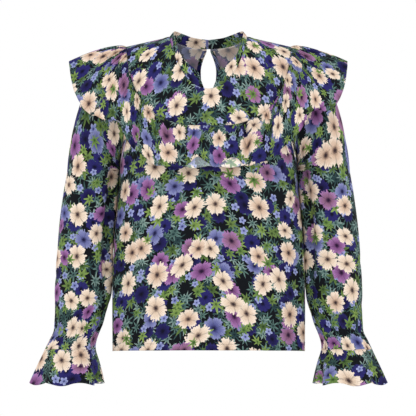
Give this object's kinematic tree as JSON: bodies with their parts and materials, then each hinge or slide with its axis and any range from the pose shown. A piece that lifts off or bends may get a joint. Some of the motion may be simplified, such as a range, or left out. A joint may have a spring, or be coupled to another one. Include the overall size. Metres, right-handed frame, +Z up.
{
  "type": "blouse",
  "caption": "Long-sleeved blouse with a gathered ruffle round a front yoke, a split neck band and flared wrist flounces, in its worn, filled-out form.",
  "frame": {"origin": "middle of the neck opening, on the height at which the wearer's shoulders carry the cloth", "axes": "+Z up, the blouse's front faces -Y, and the wearer's left side is at +X"},
  "size_m": [0.691, 0.2755, 0.6878],
  "materials": {
    "printed_crepe": "floral print on fine matt crepe",
    "button": "satin, moulded",
    "loop_thread": "twisted thread"
  },
  "bodies": {
    "root": {"front_yoke": "printed_crepe", "front": "printed_crepe", "back": "printed_crepe", "keyhole_facing": "printed_crepe", "neck_band_left": "printed_crepe", "neck_band_right": "printed_crepe", "ruffle_front": "printed_crepe", "ruffle_left_shoulder": "printed_crepe", "ruffle_right_shoulder": "printed_crepe", "sleeve_left_head": "printed_crepe", "sleeve_left_upper": "printed_crepe", "sleeve_left_lower": "printed_crepe", "sleeve_right_head": "printed_crepe", "sleeve_right_upper": "printed_crepe", "sleeve_right_lower": "printed_crepe", "flounce_left": "printed_crepe", "flounce_right": "printed_crepe", "neck_button": "button", "neck_loop": "loop_thread"}
  },
  "joints": []
}
